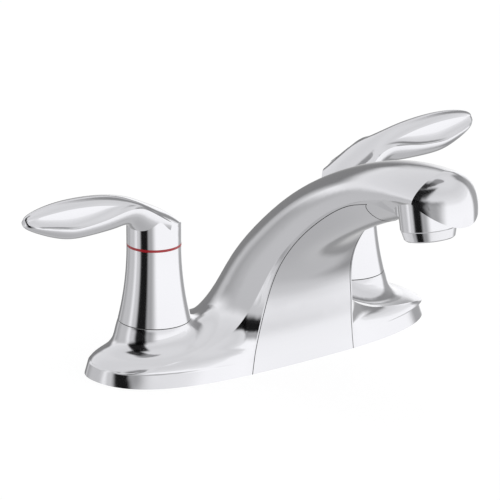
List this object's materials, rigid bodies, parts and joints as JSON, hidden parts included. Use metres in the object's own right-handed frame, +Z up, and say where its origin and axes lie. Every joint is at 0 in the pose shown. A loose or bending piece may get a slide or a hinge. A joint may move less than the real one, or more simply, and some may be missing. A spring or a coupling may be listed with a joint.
{
  "type": "centerset bathroom faucet",
  "caption": "Low-arc centerset bathroom faucet: one-piece base and spout with a long front panel, flared handle hubs with lever handles that turn, red and blue index rings.",
  "frame": {"origin": "on the deck, midway between the two handle axes", "axes": "+X along the base from the hot handle to the cold handle, -Y towards the user and along the spout, +Z up"},
  "size_m": [0.232, 0.1633, 0.1581],
  "materials": {
    "chrome": "polished chrome",
    "hot_index": "glossy",
    "cold_index": "glossy",
    "brass": "machined",
    "copper": "drawn",
    "ceramic": "lapped",
    "rubber": "matte",
    "cartridge_plastic": "moulded",
    "steel": "plain",
    "nut_plastic": "moulded",
    "insert_plastic": "moulded"
  },
  "bodies": {
    "fixed": {"aerator_housing": "chrome", "aerator_insert": "insert_plastic", "aerator_washer": "rubber", "cold_bonnet_nut": "brass", "cold_cartridge_body": "cartridge_plastic", "cold_crossover_tube": "copper", "cold_fixed_disc": "ceramic", "cold_mounting_nut": "nut_plastic", "cold_mounting_washer": "steel", "cold_seat_seal": "rubber", "cold_valve_body": "brass", "deck_gasket": "rubber", "faucet_body": "chrome", "front_panel": "chrome", "hot_bonnet_nut": "brass", "hot_cartridge_body": "cartridge_plastic", "hot_crossover_tube": "copper", "hot_fixed_disc": "ceramic", "hot_mounting_nut": "nut_plastic", "hot_mounting_washer": "steel", "hot_seat_seal": "rubber", "hot_valve_body": "brass", "mixing_tee": "brass", "outlet_socket": "brass", "spout_tube": "copper"},
    "hot_handle": {"hot_index_ring": "hot_index", "hot_lever": "chrome", "hot_set_screw": "steel", "hot_skirt": "chrome", "hot_stem": "brass", "hot_stem_seal": "rubber", "hot_turning_disc": "ceramic"},
    "cold_handle": {"cold_index_ring": "cold_index", "cold_lever": "chrome", "cold_set_screw": "steel", "cold_skirt": "chrome", "cold_stem": "brass", "cold_stem_seal": "rubber", "cold_turning_disc": "ceramic"}
  },
  "joints": [
    {"name": "hot_handle_turn", "type": "hinge", "parent": "fixed", "child": "hot_handle", "pos_m": [-0.0508, 0, 0], "axis": [0, 0, 1], "range_deg": [0, 90]},
    {"name": "cold_handle_turn", "type": "hinge", "parent": "fixed", "child": "cold_handle", "pos_m": [0.0508, 0, 0], "axis": [0, 0, 1], "range_deg": [-90, 0]}
  ]
}
